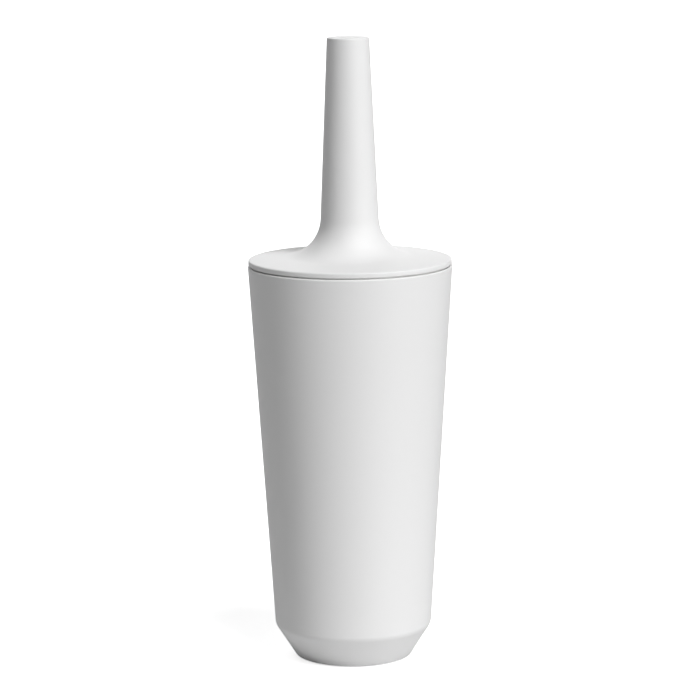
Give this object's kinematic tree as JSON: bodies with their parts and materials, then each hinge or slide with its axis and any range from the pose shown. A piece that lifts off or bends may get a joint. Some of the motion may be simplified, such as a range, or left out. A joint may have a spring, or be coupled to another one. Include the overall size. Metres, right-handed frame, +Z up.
{
  "type": "toilet brush holder",
  "caption": "Tapered round canister with a chamfered foot, and a toilet brush whose flat lid and slim tapered handle are one turned piece.",
  "frame": {"origin": "centre of the underside of the non-slip pad, on the surface that the holder stands on", "axes": "+Z up along the canister's and the handle's common axis; X and Y are any two level directions, because the object is round"},
  "size_m": [0.1272, 0.1272, 0.39],
  "materials": {
    "shell": "moulded, fine satin",
    "inner": "moulded, plain",
    "core": "moulded, plain",
    "pad": "matt",
    "bristle": "nylon filament tufts"
  },
  "bodies": {
    "holder": {"canister": "shell", "base_pad": "pad"},
    "cup": {"drip_cup": "inner"},
    "brush": {"lid_handle": "shell", "lid_plate": "inner", "stem": "inner"},
    "brush_head": {"brush_core": "core", "bristle_row_1": "bristle", "bristle_row_2": "bristle", "bristle_row_3": "bristle", "bristle_row_4": "bristle", "bristle_row_5": "bristle", "bristle_row_6": "bristle", "bristle_row_7": "bristle", "bristle_row_8": "bristle", "bristle_row_9": "bristle", "bristle_tip": "bristle"}
  },
  "joints": [
    {"name": "cup_lift", "type": "slide", "parent": "holder", "child": "cup", "axis": [0, 0, 1], "range_m": [0, 0.26]},
    {"name": "brush_lift", "type": "slide", "parent": "cup", "child": "brush", "axis": [0, 0, 1], "range_m": [0, 0.26]},
    {"name": "head_unscrew", "type": "hinge", "parent": "brush", "child": "brush_head", "pos_m": [0, 0, 0.1063], "axis": [0, 0, -1], "range_deg": [0, 1080]}
  ]
}
